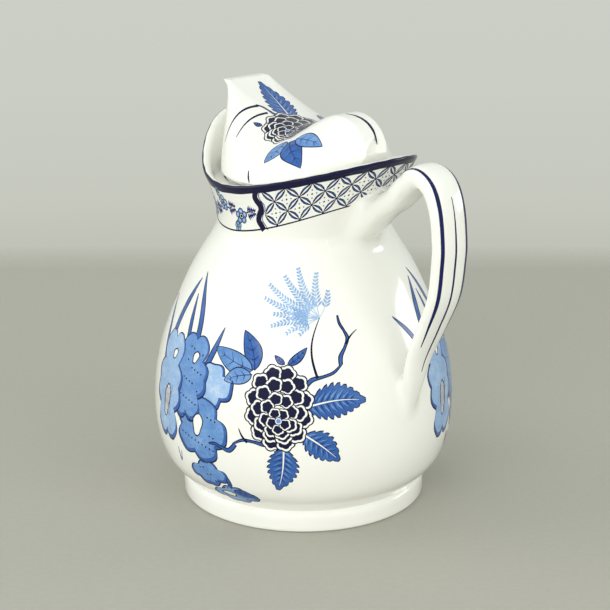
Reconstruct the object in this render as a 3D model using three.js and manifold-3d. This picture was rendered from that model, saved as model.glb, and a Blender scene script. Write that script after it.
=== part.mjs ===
// A lidded porcelain jug: a thrown pear-shaped body with a flared collar, a strap handle and a loose saddle lid.
// Millimetres, +Z up, standing on its foot ring; the spout points to -X and the handle to +X. The pieces are made
// about the body's axis, and the whole jug is then slid along X so that the middle of its length is at the origin.
import * as THREE from "three";
import { mergeVertices } from "three/addons/utils/BufferGeometryUtils.js";
import Module from "manifold-3d";

// Foot ring
const FOOT_R = 48.6;
const FOOT_H = 8.5;
const FOOT_LAND = 4.6; // width of the flat ring that the jug stands on
const FOOT_ROUND = 1.5;
const FOOT_WAIST = 1.4; // how far the groove above the ring is set in
const RECESS = 3.4; // depth of the hollow under the foot

// Body
const BELLY_R = 59.7;
const BELLY_Z = 38;
const NECK_R = 33.8;
const NECK_Z = 112;
const WALL = 3.2;
const FLOOR = 4.4; // thickness of the bottom

// Collar: its rim is an egg in plan and a saddle in height
const RIM_SIDE = 38.4; // half width of the rim
const RIM_SIDE_X = 2.5; // where along X the rim is widest
const SPOUT_REACH = 42.8;
const LOBE_REACH = 48.7; // the rim's rear lobe, over the handle
const RIM_LOW = 18.7; // height of the rim over the neck at its lowest
const RIM_LOW_X = -6;
const SPOUT_RISE = 20; // how much higher the spout is than the lowest rim
const LOBE_RISE = 12.6;
const SPOUT_CURVE = 3; // how late the rim climbs to the spout, and below it to the lobe
const LOBE_CURVE = 1.5;
const SPOUT_FLARE = 2.1; // 1 is a straight cone, more bends outward later
const LOBE_FLARE = 1.25;

// Seat for the lid, inside the collar
const SEAT_DEPTH = 1.2; // below the lowest rim
const THROAT_R = 30.6;
const LID_CLEARANCE = 0.5;
const GAP = 0.3; // luted or resting faces keep this apart

// Lid
const LID_WALL = 3;
const LID_X = 2.5; // middle of the lid's round base
const CHANNEL = 4.2; // clear way between the spout's lip and the upright grip
const HORN_TOP = 33.7; // all crest heights are over the lid's seat
const HORN_HALF = 10.8; // half width of the grip
const HORN_DEEP = 3.5;
const SADDLE_X = 3;
const SADDLE_TOP = 20;
const SADDLE_HALF = 2; // half width of the crest's flat top in the saddle
const HUMP_X = 24.5;
const HUMP_TOP = 27;
const TONGUE_LEAN = 3.4; // how far the strap at the rear leans out over the base
const TONGUE_HALF = 5.4; // half width of that strap
const TONGUE_ROLL = 13; // drop of the crest from the hump to the rear face
const GRIP_FULL = 2; // 1 gives straight flanks, 2 oval ones
const HUMP_FULL = 1.15;
const TUCK = 2.4; // how far the flanks tuck in at their foot, over the same height
const SKIRT_DEPTH = 6;
const SKIRT_WALL = 2.6;
const POUR_GAP_W = 26; // notch under the lid's front, which lets the jug pour with its lid on
const POUR_GAP_H = 4.5;

// Handle
const STRAP_W = 17.2;
const STRAP_T = 6;
const SHOULDER_T = 9;
const ROOT_T = 15;
const LOOP_OUT = 43.2; // middle of the strap, out from the neck
const LOOP_TOP = 27; // middle of the shoulder, over the neck
const TERMINAL_Z = 45; // foot of the strap on the belly

// Mesh fineness
const TURNS = 48;
const BELLY_STEPS = 20;
const COLLAR_STEPS = 6;
const HANDLE_STEPS = 34;
const HANDLE_SIDES = 16;
const DOME_STEPS = 8;

const wasm = await Module();
wasm.setup();

const { lerp, clamp } = THREE.MathUtils;
const at = (r, z) => new THREE.Vector2(r, z);

// ---- solids and booleans

function solidOf(geometry) {
  const bare = geometry.clone();
  bare.deleteAttribute("normal");
  bare.deleteAttribute("uv");
  const merged = mergeVertices(bare, 1e-3);
  const made = new wasm.Mesh({
    numProp: 3,
    vertProperties: new Float32Array(merged.attributes.position.array),
    triVerts: new Uint32Array(merged.index.array),
  });
  made.merge();
  return new wasm.Manifold(made);
}

function geometryOf(solid) {
  const { vertProperties, triVerts } = solid.getMesh();
  const made = new THREE.BufferGeometry();
  made.setAttribute("position", new THREE.BufferAttribute(vertProperties, 3));
  made.setIndex(new THREE.BufferAttribute(triVerts, 1));
  made.computeVertexNormals();
  return made;
}

// A profile of (radius, height) points turned about the Z axis, run from the bottom up on its outer side.
function turned(points) {
  return new THREE.LatheGeometry(points, TURNS).rotateX(Math.PI / 2);
}

// Moves every vertex of a geometry to shape(x, y, z).
function bent(geometry, shape) {
  const place = geometry.attributes.position;
  for (let i = 0; i < place.count; i++) {
    const [x, y, z] = shape(place.getX(i), place.getY(i), place.getZ(i));
    place.setXYZ(i, x, y, z);
  }
  return geometry;
}

// Moves every vertex of a turned profile to shape(angle, row), row counting the profile's points from 0. The
// angle comes from the turn, so it is known on the axis too.
function draped(points, shape) {
  const geometry = turned(points);
  const place = geometry.attributes.position;
  for (let i = 0; i < place.count; i++) {
    const turn = Math.floor(i / points.length) % TURNS;
    const angle = ((turn / TURNS - 0.25) * 2 * Math.PI + 3 * Math.PI) % (2 * Math.PI) - Math.PI;
    place.setXYZ(i, ...shape(angle, i % points.length));
  }
  return geometry;
}

// ---- body

// The belly's outline from the groove above the foot to the neck.
const belly = new THREE.SplineCurve([
  at(FOOT_R - FOOT_WAIST, FOOT_H),
  at(lerp(FOOT_R, BELLY_R, 0.68), lerp(FOOT_H, BELLY_Z, 0.37)),
  at(BELLY_R, BELLY_Z),
  at(lerp(NECK_R, BELLY_R, 0.885), lerp(BELLY_Z, NECK_Z, 0.33)),
  at(lerp(NECK_R, BELLY_R, 0.465), lerp(BELLY_Z, NECK_Z, 0.7)),
  at(lerp(NECK_R, BELLY_R, 0.065), lerp(BELLY_Z, NECK_Z, 0.94)),
  at(NECK_R, NECK_Z),
]).getSpacedPoints(BELLY_STEPS);

function bellyRadius(z) {
  if (z >= NECK_Z) return NECK_R;
  const next = Math.max(1, belly.findIndex((p) => p.y > z));
  const [a, b] = [belly[next - 1], belly[next]];
  return lerp(a.x, b.x, (z - a.y) / (b.y - a.y));
}

// The rim's distance from the axis in direction angle, on an egg of two half ellipses.
function rimRadius(angle) {
  const c = Math.cos(angle);
  const s = Math.sin(angle);
  const reach = (half) => {
    const a = (c / half) ** 2 + (s / RIM_SIDE) ** 2;
    const b = (-2 * c * RIM_SIDE_X) / half ** 2;
    const k = (RIM_SIDE_X / half) ** 2 - 1;
    return (-b + Math.sqrt(b * b - 4 * a * k)) / (2 * a);
  };
  const rear = reach(LOBE_REACH - RIM_SIDE_X);
  return rear * c >= RIM_SIDE_X ? rear : reach(SPOUT_REACH + RIM_SIDE_X);
}

// The rim's height over the neck at x.
function rimHeight(x) {
  return x < RIM_LOW_X
    ? RIM_LOW + SPOUT_RISE * ((RIM_LOW_X - x) / (SPOUT_REACH + RIM_LOW_X)) ** SPOUT_CURVE
    : RIM_LOW + LOBE_RISE * ((x - RIM_LOW_X) / (LOBE_REACH - RIM_LOW_X)) ** LOBE_CURVE;
}

// The collar's outer radius in direction angle, at height over the neck.
function collarRadius(angle, height) {
  const rim = rimRadius(angle);
  const share = Math.max(0, height / rimHeight(rim * Math.cos(angle)));
  const flare = lerp(SPOUT_FLARE, LOBE_FLARE, (1 + Math.cos(angle)) / 2);
  return lerp(NECK_R, rim, share ** flare);
}

// Bends a straight tube that stands on the neck, its height counted in shares of the rim's, into the flared collar.
function flared(geometry, base) {
  return bent(geometry, (x, y, z) => {
    if (z <= base) return [x, y, z];
    const angle = Math.atan2(y, x);
    const rim = rimRadius(angle);
    const top = NECK_Z + rimHeight(rim * Math.cos(angle));
    const height = lerp(base, top, z - base);
    const spread = collarRadius(angle, height - NECK_Z) - NECK_R;
    const r = Math.hypot(x, y);
    const out = r > 0 ? (r + (spread * r) / NECK_R) / r : 0;
    return [x * out, y * out, height];
  });
}

// The whole outside of the jug as one filled solid, grown by extra.
function outside(extra) {
  const foot = FOOT_R + extra;
  const steps = Array.from({ length: COLLAR_STEPS }, (_, i) => (i + 1) / COLLAR_STEPS);
  return solidOf(
    flared(
      turned([
        at(0, -extra),
        at(foot - FOOT_ROUND, -extra),
        at(foot - 0.3 * FOOT_ROUND, 0.3 * FOOT_ROUND),
        at(foot, FOOT_ROUND),
        at(foot, 0.6 * FOOT_H),
        at(foot - 0.3 * FOOT_WAIST, 0.85 * FOOT_H),
        ...belly.map((p) => at(p.x + extra, p.y)),
        ...steps.map((share) => at(NECK_R + extra, NECK_Z + share)),
        at(0, NECK_Z + 1),
      ]),
      NECK_Z,
    ),
  );
}

const SEAT_Z = NECK_Z + RIM_LOW - SEAT_DEPTH;

// The space inside the body, up through the throat.
function inside() {
  const well = belly.filter((p) => p.y > RECESS + FLOOR + WALL && p.y < NECK_Z - WALL);
  return solidOf(
    turned([
      at(0, RECESS + FLOOR),
      at(well[0].x - 3 * WALL, RECESS + FLOOR),
      ...well.map((p) => at(p.x - WALL, p.y)),
      at(THROAT_R, NECK_Z),
      at(THROAT_R, NECK_Z + LOBE_RISE + SPOUT_RISE + RIM_LOW),
      at(0, NECK_Z + LOBE_RISE + SPOUT_RISE + RIM_LOW),
    ]),
  );
}

// The space inside the collar, from the lid's seat to above the rim.
function mouth() {
  const steps = Array.from({ length: COLLAR_STEPS + 1 }, (_, i) => (1.1 * i) / COLLAR_STEPS);
  return solidOf(
    bent(
      turned([at(0, 0), ...steps.map((share) => at(1, share)), at(0, 1.1)]),
      (x, y, share) => {
        const angle = Math.atan2(y, x);
        const top = NECK_Z + rimHeight(rimRadius(angle) * Math.cos(angle));
        const height = lerp(SEAT_Z, top, share);
        const r = collarRadius(angle, height - NECK_Z) - WALL;
        return [x * r, y * r, height];
      },
    ),
  );
}

function recess() {
  const r = FOOT_R - FOOT_ROUND - FOOT_LAND;
  return solidOf(turned([at(0, -1), at(r, -1), at(r - 0.7, RECESS), at(0, RECESS)]));
}

function jugBody() {
  return outside(0).subtract(inside()).subtract(mouth()).subtract(recess());
}

// ---- handle

// The strap's middle line in the XZ plane, as shares of the loop's reach and height at each point, with the
// strap's thickness and its width as a share of the full width.
const arm = [
  [-0.09, 0.08, ROOT_T, 1.05],
  [0.1, 0.3, 0.78 * ROOT_T, 0.99],
  [0.26, 0.48, 1.05 * SHOULDER_T, 0.93],
  [0.42, 0.65, SHOULDER_T, 0.91],
  [0.56, 0.87, SHOULDER_T, 0.93],
  [0.71, 1.03, SHOULDER_T, 0.98],
  [0.865, 0.94, 1.25 * STRAP_T, 1],
  [0.96, 0.65, 1.05 * STRAP_T, 1],
  [1, 0.22, STRAP_T, 1],
].map(([out, up, thick, wide]) => [NECK_R + out * LOOP_OUT, NECK_Z + up * LOOP_TOP, thick, wide]);

// Below the neck the strap follows the belly: height as a share of the way up, then the reach out from it.
const tail = [
  [0.97, 0.985],
  [0.776, 0.765],
  [0.59, 0.495],
  [0.388, 0.218],
  [0.194, 0.04],
  [0, -0.05],
].map(([share, out]) => {
  const z = lerp(TERMINAL_Z, NECK_Z, share);
  return [bellyRadius(z) + out * LOOP_OUT, z, STRAP_T, lerp(0.22, 1, Math.sin(share * Math.PI * 0.5))];
});

const strap = [...arm, ...tail];

function handle() {
  const line = new THREE.CatmullRomCurve3(strap.map(([x, z]) => new THREE.Vector3(x, 0, z)));
  const sizes = new THREE.CatmullRomCurve3(strap.map(([, , t, w]) => new THREE.Vector3(t, w * STRAP_W, 0)));
  const rod = new THREE.CylinderGeometry(1, 1, 1, HANDLE_SIDES, HANDLE_STEPS).rotateX(Math.PI / 2);
  bent(rod, (x, y, z) => {
    const share = clamp(z + 0.5, 0, 1);
    const middle = line.getPoint(share);
    const run = line.getTangent(share);
    const { x: thick, y: wide } = sizes.getPoint(share);
    // An oval with full flanks: a squared-off ellipse.
    const oval = (v) => Math.sign(v) * Math.abs(v) ** 0.8;
    const side = (oval(x) * thick) / 2;
    return [middle.x + side * run.z, (oval(y) * wide) / 2, middle.z - side * run.x];
  });
  const blank = solidOf(rod);
  const cut = blank.subtract(outside(GAP));
  return cut.decompose().sort((a, b) => b.volume() - a.volume())[0];
}

// ---- lid

// How far the lid's round base can reach from its middle before it meets the collar in direction angle.
function lidReach(angle) {
  const wall = collarRadius(angle, SEAT_Z - NECK_Z) - WALL;
  return Math.hypot(wall * Math.cos(angle) - LID_X, wall * Math.sin(angle)) - LID_CLEARANCE;
}

const LID_R = Math.min(...Array.from({ length: TURNS }, (_, i) => lidReach((i / TURNS) * 2 * Math.PI)));
const LID_Z = SEAT_Z + GAP;
const HORN_X = WALL + CHANNEL - SPOUT_REACH;
const TONGUE_X = LID_X + LID_R + TONGUE_LEAN;

// The crest's height over the seat at x: grip, saddle, hump and the roll down to the strap's rear face.
function crestHeight(x) {
  if (x < SADDLE_X) {
    const share = clamp((x - HORN_X - HORN_DEEP) / (SADDLE_X - HORN_X - HORN_DEEP), 0, 1);
    return lerp(SADDLE_TOP, HORN_TOP, (1 - share) ** 1.6);
  }
  if (x < HUMP_X) {
    const share = (x - SADDLE_X) / (HUMP_X - SADDLE_X);
    return lerp(SADDLE_TOP, HUMP_TOP, (1 - Math.cos(Math.PI * share)) / 2);
  }
  const roll = clamp((x - HUMP_X) / (TONGUE_X - HUMP_X), 0, 1);
  return HUMP_TOP - TONGUE_ROLL * (1 - Math.sqrt(1 - roll ** 2));
}

// Half the width of the crest's flat top at x.
function crestHalf(x) {
  if (x < SADDLE_X) return lerp(HORN_HALF, SADDLE_HALF, clamp((x - HORN_X) / (SADDLE_X - HORN_X), 0, 1) ** 0.7);
  return lerp(SADDLE_HALF, TONGUE_HALF, clamp((x - SADDLE_X) / (HUMP_X - SADDLE_X), 0, 1));
}

// A saddle dome over the round base, set in by inset all round; its underside is flat.
function dome(inset, low) {
  const radius = LID_R - inset;
  const front = HORN_X + inset;
  const rear = TONGUE_X - inset;
  const ends = 0.96 * radius; // base points past this stand under the grip's front face or the strap's rear face
  const rows = DOME_STEPS + 3;
  const profile = Array.from({ length: rows }, (_, row) => at(row % (rows - 1) ? 1 : 0, row));
  return solidOf(
    draped(profile, (angle, row) => {
      if (row === 0) return [LID_X, 0, low];
      const [bx, by] = [radius * Math.cos(angle), radius * Math.sin(angle)];
      const cx = lerp(front, rear, clamp((bx + ends) / (2 * ends), 0, 1));
      const half = Math.max(0.4, crestHalf(cx) - inset);
      const top = LID_Z + crestHeight(cx) - inset;
      if (row === rows - 1) return [clamp(cx, front + HORN_DEEP / 2, rear - HORN_DEEP / 2), 0, top];
      if (row === 1) return [LID_X + bx * (1 - TUCK / radius), by * (1 - TUCK / radius), low];
      const rise = ((row - 2) / (DOME_STEPS - 1)) * (Math.PI / 2);
      const power = 2 / lerp(GRIP_FULL, HUMP_FULL, (cx - front) / (rear - front));
      const inward = 1 - Math.cos(rise) ** power;
      return [
        lerp(LID_X + bx, cx, inward),
        lerp(by, clamp(by, -half, half), inward),
        lerp(low + TUCK, top, Math.sin(rise) ** power),
      ];
    }),
  );
}

// A plain drum of radius r about the jug's axis.
function drum(r, low, high) {
  return solidOf(turned([at(0, low), at(r, low), at(r, high), at(0, high)]));
}

function lid() {
  const out = THROAT_R - LID_CLEARANCE;
  const foot = LID_Z - SKIRT_DEPTH;
  const deck = LID_Z + LID_WALL;
  const notch = new THREE.BoxGeometry(LID_R, POUR_GAP_W, SKIRT_DEPTH + POUR_GAP_H + 1);
  notch.translate(LID_X - LID_R, 0, (foot - 1 + LID_Z + POUR_GAP_H) / 2);
  return dome(0, LID_Z)
    .subtract(dome(LID_WALL, deck))
    .add(drum(out, foot, deck - 0.5))
    .subtract(drum(out - SKIRT_WALL, foot - 1, deck + 0.5))
    .subtract(solidOf(notch));
}

// ---- the jug

const glazedWhite = { color: 0xf3f1ea, roughness: 0.14, metalness: 0 };

function piece(name, solid) {
  const mesh = new THREE.Mesh(geometryOf(solid), new THREE.MeshStandardMaterial(glazedWhite));
  mesh.name = name;
  return mesh;
}

const jug = new THREE.Group();
jug.add(piece("jug_body", jugBody()), piece("handle", handle()), piece("lid", lid()));

const { min, max } = new THREE.Box3().setFromObject(jug);
jug.position.x = -(min.x + max.x) / 2;

export default jug;
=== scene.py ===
import math

import bpy
import numpy as np
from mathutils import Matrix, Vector
from mathutils.geometry import delaunay_2d_cdt


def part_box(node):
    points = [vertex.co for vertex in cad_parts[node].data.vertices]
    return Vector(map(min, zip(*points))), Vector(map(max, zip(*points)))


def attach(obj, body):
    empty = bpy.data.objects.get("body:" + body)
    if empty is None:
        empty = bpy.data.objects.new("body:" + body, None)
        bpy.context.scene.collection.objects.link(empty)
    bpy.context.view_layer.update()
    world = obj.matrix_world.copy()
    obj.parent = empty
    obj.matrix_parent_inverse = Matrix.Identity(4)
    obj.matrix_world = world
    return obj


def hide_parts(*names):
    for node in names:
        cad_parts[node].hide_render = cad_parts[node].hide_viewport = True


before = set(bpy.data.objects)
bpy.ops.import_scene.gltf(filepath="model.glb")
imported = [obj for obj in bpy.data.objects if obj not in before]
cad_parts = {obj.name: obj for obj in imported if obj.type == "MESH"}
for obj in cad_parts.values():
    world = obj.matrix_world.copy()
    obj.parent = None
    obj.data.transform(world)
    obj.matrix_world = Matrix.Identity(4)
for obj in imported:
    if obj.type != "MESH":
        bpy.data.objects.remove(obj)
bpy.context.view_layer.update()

# ---- Studio
# A pale table top that fades into a plain pale room. Soft lights stand on the left, in front, on the right,
# far behind and overhead, with a ring lamp beside the camera. Lengths in this file are millimetres about the
# jug's axis, and metre() turns them into metres.
body_low, body_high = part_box("jug_body")
BELLY_R = 1000 * (body_high.y - body_low.y) / 2
AXIS_X = 1000 * body_low.x + BELLY_R

CAMERA_TURN = math.radians(47)
CAMERA_REACH = 650
CAMERA_RISE = 279
AIM_RISE = 76.4
CAMERA_LENS = 101.2
CAMERA_SHIFT = 0.0025
TABLE_HALF = 341
TABLE_FADE = 26
RING_R = 190
RING_TUBE = 18


def metre(x, y, z):
    return Vector((x + AXIS_X, y, z)) / 1000


def look_at(thing, target):
    thing.rotation_euler = (target - thing.location).to_track_quat("-Z", "Y").to_euler()


camera = bpy.data.objects.new("camera", bpy.data.cameras.new("camera"))
bpy.context.scene.collection.objects.link(camera)
camera_x = CAMERA_REACH * math.sin(CAMERA_TURN)
camera_y = -CAMERA_REACH * math.cos(CAMERA_TURN)
camera.location = metre(camera_x, camera_y, CAMERA_RISE)
look_at(camera, metre(0, 0, AIM_RISE))
camera.data.lens = CAMERA_LENS
camera.data.shift_x = CAMERA_SHIFT
bpy.context.scene.camera = camera
bpy.context.scene.view_settings.view_transform = "Standard"


class Wire:
    """A shader socket that can be used in sums."""

    def __init__(self, tree, socket):
        self.tree = tree
        self.socket = socket

    def feed(self, slot):
        self.tree.links.new(self.socket, slot)

    def maths(self, operation, first, second):
        node = self.tree.nodes.new("ShaderNodeMath")
        node.operation = operation
        for slot, value in zip(node.inputs, (first, second)):
            if isinstance(value, Wire):
                value.feed(slot)
            else:
                slot.default_value = value
        return Wire(self.tree, node.outputs[0])

    def __add__(self, other):
        return self.maths("ADD", self, other)

    def __radd__(self, other):
        return self.maths("ADD", other, self)

    def __sub__(self, other):
        return self.maths("SUBTRACT", self, other)

    def __rsub__(self, other):
        return self.maths("SUBTRACT", other, self)

    def __mul__(self, other):
        return self.maths("MULTIPLY", self, other)

    def __rmul__(self, other):
        return self.maths("MULTIPLY", other, self)


class Finish:
    """A material, or the room's light, built node by node."""

    def __init__(self, owner):
        owner.use_nodes = True
        self.owner = owner
        self.tree = owner.node_tree
        self.tree.nodes.clear()

    def node(self, kind, settings=None, output=0, **sockets):
        """Adds a node: settings first, then sockets, by name with _ for a space, or by number as n6."""
        made = self.tree.nodes.new(kind)
        for key, value in (settings or {}).items():
            if key == "stops":
                for place, colour in value:
                    made.color_ramp.elements.new(place).color = (*colour, 1)
                made.color_ramp.elements.remove(made.color_ramp.elements[0])
                made.color_ramp.elements.remove(made.color_ramp.elements[-1])
            else:
                setattr(made, key, value)
        for key, value in sockets.items():
            by_number = key[0] == "n" and key[1:].isdigit()
            slot = made.inputs[int(key[1:]) if by_number else key.replace("_", " ")]
            if isinstance(value, Wire):
                value.feed(slot)
            else:
                slot.default_value = value
        return Wire(self.tree, made.outputs[output]) if len(made.outputs) else made


def linear(red, green, blue):
    """A colour given as it looks on a screen, 0 to 255, in the numbers that a shader takes."""
    shares = [c / 255 for c in (red, green, blue)]
    return tuple(((c + 0.055) / 1.055) ** 2.4 if c > 0.04 else c / 12.92 for c in shares)


bpy.context.scene.world = bpy.data.worlds.new("room")
room = Finish(bpy.context.scene.world)
climb = room.node("ShaderNodeSeparateXYZ", output=2, Vector=room.node("ShaderNodeTexCoord"))
walls = room.node(
    "ShaderNodeValToRGB",
    {"stops": [
        (0.22, linear(187, 188, 177)),
        (0.26, linear(198, 200, 190)),
        (0.33, linear(203, 206, 197)),
        (0.5, linear(206, 209, 202)),
        (0.9, linear(216, 220, 217)),
    ]},
    Fac=climb + 0.5,
)
light = room.node("ShaderNodeBackground", Color=walls, Strength=1.0)
room.node("ShaderNodeOutputWorld", Surface=light)

bpy.ops.mesh.primitive_plane_add(size=2 * (TABLE_HALF + TABLE_FADE) / 1000, location=metre(0, 0, 0))
table = bpy.context.object
table.name = "table_top"
table.rotation_euler.z = CAMERA_TURN
top_finish = Finish(bpy.data.materials.new("table_paint"))
spot = top_finish.node("ShaderNodeTexCoord", output=3)
across = top_finish.node("ShaderNodeSeparateXYZ", output=0, Vector=spot)
along = top_finish.node("ShaderNodeSeparateXYZ", output=1, Vector=spot)
edge = across.maths("MAXIMUM", across.maths("ABSOLUTE", across, 0), along.maths("ABSOLUTE", along, 0))
fade = top_finish.node(
    "ShaderNodeMapRange",
    Value=edge,
    From_Min=(TABLE_HALF - TABLE_FADE) / 1000,
    From_Max=(TABLE_HALF + TABLE_FADE) / 1000,
    To_Min=1.0,
    To_Max=0.0,
)
grain = top_finish.node("ShaderNodeTexNoise", Vector=spot, Scale=420.0, Detail=3.0)
top_colour = top_finish.node(
    "ShaderNodeMix",
    {"data_type": "RGBA"},
    output=2,
    Factor=grain,
    n6=(*linear(169, 168, 156), 1),
    n7=(*linear(177, 176, 165), 1),
)
top_surface = top_finish.node("ShaderNodeBsdfPrincipled", Base_Color=top_colour, Roughness=0.75, Alpha=fade)
top_finish.node("ShaderNodeOutputMaterial", Surface=top_surface)
table.data.materials.append(top_finish.owner)


def soft_light(name, size_x, size_y, place, target, power, mirrored=False):
    lamp = bpy.data.objects.new(name, bpy.data.lights.new(name, "AREA"))
    bpy.context.scene.collection.objects.link(lamp)
    lamp.data.shape = "RECTANGLE"
    lamp.data.size = size_x / 1000
    lamp.data.size_y = size_y / 1000
    lamp.data.energy = power
    lamp.location = metre(*place)
    look_at(lamp, metre(*target))
    lamp.visible_camera = False
    lamp.visible_glossy = mirrored


soft_light("left_window", 900, 900, (-900, -900, 800), (0, 0, 60), 4, True)
soft_light("front_window", 900, 600, (500, -1000, 260), (60, -150, 0), 6.5)
soft_light("right_wall", 900, 900, (1250, 150, 600), (0, 0, 40), 3.5)
soft_light("far_window", 380, 190, (459, 795, 235), (0, 0, 80), 0.9, True)
soft_light("ceiling", 1400, 1400, (0, 0, 1700), (0, 0, 0), 2)

# The ring lamp is a flat hoop of light beside the camera, which the camera itself doesn't see.
bpy.ops.mesh.primitive_torus_add(
    major_radius=RING_R / 1000, minor_radius=RING_TUBE / 1000, major_segments=64, location=(0, 0, 0)
)
ring_lamp = bpy.context.object
ring_lamp.name = "ring_lamp"
ring_lamp.scale = (1.2, 0.8, 0.3)
ring_lamp.location = metre(291, -779, 524)
look_at(ring_lamp, metre(27, -40, 84))
ring_glow = Finish(bpy.data.materials.new("ring_glow"))
ring_glow.node(
    "ShaderNodeOutputMaterial",
    Surface=ring_glow.node("ShaderNodeEmission", Color=(1, 1, 1, 1), Strength=6.0),
)
ring_lamp.data.materials.append(ring_glow.owner)
ring_lamp.visible_camera = False


# ---- Jug body
# White ware, thrown or cast as one piece with its foot ring, neck, flared collar, spout and the ledge for the
# lid, and dipped in a clear ivory glaze. The wall is spun upright above the neck and pressed out to the rim.
FOOT_R = 48.6
FOOT_H = 8.5
FOOT_LAND = 4.6
FOOT_ROUND = 1.5
FOOT_WAIST = 1.4
RECESS = 3.4
BELLY_Z = 38
NECK_R = 33.8
NECK_Z = 112
WALL = 3.2
FLOOR = 4.4
RIM_SIDE = 38.4
RIM_SIDE_X = 2.5
SPOUT_REACH = 42.8
LOBE_REACH = 48.7
RIM_LOW = 18.7
RIM_LOW_X = -6
SPOUT_RISE = 20
LOBE_RISE = 12.6
SPOUT_CURVE = 3
LOBE_CURVE = 1.5
SPOUT_FLARE = 2.1
LOBE_FLARE = 1.25
SEAT_Z = NECK_Z + RIM_LOW - 1.2
THROAT_R = 30.6
LIP = WALL / 2
UPRIGHT = 20.0
SEAT_UPRIGHT = 15.0
BODY_TURNS = 192
IVORY = (241, 242, 236)
GLAZE_IOR = 1.5
GLAZE_COAT = 0.5
PRINT_IOR = 1.36
PRINT_COAT = 0.15


def lerp(low, high, share):
    return low + (high - low) * share


def smooth_line(points, count):
    """A smooth line through the points, as count + 1 places."""
    points = np.array(points, float)
    share = np.linspace(0, len(points) - 1, count + 1)
    start = np.minimum(share.astype(int), len(points) - 2)
    t = (share - start)[:, None]
    before, here = points[np.maximum(start - 1, 0)], points[start]
    after, beyond = points[start + 1], points[np.minimum(start + 2, len(points) - 1)]
    leave, arrive = (after - before) / 2, (beyond - here) / 2
    return here + leave * t + (3 * (after - here) - 2 * leave - arrive) * t**2 + (
        2 * (here - after) + leave + arrive
    ) * t**3


def soft_corner(start, corner, end, steps=5):
    """Places along a rounded corner of an outline."""
    start, corner, end = (np.array(p, float) for p in (start, corner, end))
    shares = [i / steps for i in range(steps + 1)]
    return [tuple(start * (1 - t) ** 2 + 2 * corner * t * (1 - t) + end * t**2) for t in shares]


belly = smooth_line(
    [
        (FOOT_R - FOOT_WAIST, FOOT_H),
        (lerp(FOOT_R, BELLY_R, 0.68), lerp(FOOT_H, BELLY_Z, 0.37)),
        (BELLY_R, BELLY_Z),
        (lerp(NECK_R, BELLY_R, 0.885), lerp(BELLY_Z, NECK_Z, 0.33)),
        (lerp(NECK_R, BELLY_R, 0.465), lerp(BELLY_Z, NECK_Z, 0.7)),
        (lerp(NECK_R, BELLY_R, 0.065), lerp(BELLY_Z, NECK_Z, 0.94)),
        (NECK_R, NECK_Z),
    ],
    66,
)
belly_run = np.concatenate([[0], np.cumsum(np.hypot(*np.diff(belly, axis=0).T))])


def rim_radius(angle):
    """The rim's distance from the axis, on an egg of two half ellipses."""
    c, s = np.cos(angle), np.sin(angle)

    def reach(half):
        a = (c / half) ** 2 + (s / RIM_SIDE) ** 2
        b = -2 * c * RIM_SIDE_X / half**2
        k = (RIM_SIDE_X / half) ** 2 - 1
        return (-b + np.sqrt(b * b - 4 * a * k)) / (2 * a)

    rear = reach(LOBE_REACH - RIM_SIDE_X)
    return np.where(rear * c >= RIM_SIDE_X, rear, reach(SPOUT_REACH + RIM_SIDE_X))


def rim_height(x):
    """The rim's height over the neck: a saddle that climbs to the spout and to the rear lobe."""
    to_spout = np.maximum(0, (RIM_LOW_X - x) / (SPOUT_REACH + RIM_LOW_X))
    to_lobe = np.maximum(0, (x - RIM_LOW_X) / (LOBE_REACH - RIM_LOW_X))
    return RIM_LOW + SPOUT_RISE * to_spout**SPOUT_CURVE + LOBE_RISE * to_lobe**LOBE_CURVE


def rim_top(angle):
    return rim_height(rim_radius(angle) * np.cos(angle))


def collar_radius(angle, height):
    """The collar's outer radius at a height over the neck."""
    share = np.maximum(0, height / rim_top(angle))
    flare = lerp(SPOUT_FLARE, LOBE_FLARE, (1 + np.cos(angle)) / 2)
    return lerp(NECK_R, rim_radius(angle), share**flare)


def skin_radius(angle, z):
    """The jug's outer radius in any direction, at any height over the foot."""
    return np.where(z > NECK_Z, collar_radius(angle, z - NECK_Z), np.interp(z, belly[:, 1], belly[:, 0]))


def pressed_out(angle, r, z):
    """Where a point of the upright wall above the neck goes when the collar is pressed out over it."""
    up = z - NECK_Z
    top = rim_top(angle)
    seat = SEAT_Z - NECK_Z
    inner_share = (up - SEAT_UPRIGHT) / (UPRIGHT - SEAT_UPRIGHT)
    height = np.where(
        up > UPRIGHT,
        top - LIP + (up - UPRIGHT),
        np.where(r > NECK_R - LIP, up / UPRIGHT * (top - LIP), lerp(seat, top - LIP, inner_share)),
    )
    spread = collar_radius(angle, height) - NECK_R
    in_throat = r < NECK_R - WALL - 0.5
    throat = np.minimum(up, SEAT_UPRIGHT) / SEAT_UPRIGHT * seat + np.maximum(0, up - SEAT_UPRIGHT)
    return np.where(in_throat, r + 1, r + spread), NECK_Z + np.where(in_throat, throat, height)


def edit_all(thing):
    bpy.ops.object.select_all(action="DESELECT")
    bpy.context.view_layer.objects.active = thing
    thing.select_set(True)
    bpy.ops.object.mode_set(mode="EDIT")
    bpy.ops.mesh.select_all(action="SELECT")


def close_up(thing, crease):
    """Merges doubles, turns the faces outwards and shades the piece smooth up to a crease angle."""
    edit_all(thing)
    bpy.ops.mesh.remove_doubles(threshold=1e-6)
    bpy.ops.mesh.normals_make_consistent(inside=False)
    bpy.ops.object.mode_set(mode="OBJECT")
    bpy.ops.object.shade_smooth_by_angle(angle=math.radians(crease))


def places_of(thing):
    """A piece's vertices in millimetres about the jug's axis."""
    co = np.zeros(len(thing.data.vertices) * 3)
    thing.data.vertices.foreach_get("co", co)
    return co.reshape(-1, 3) * 1000 - (AXIS_X, 0, 0)


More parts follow.
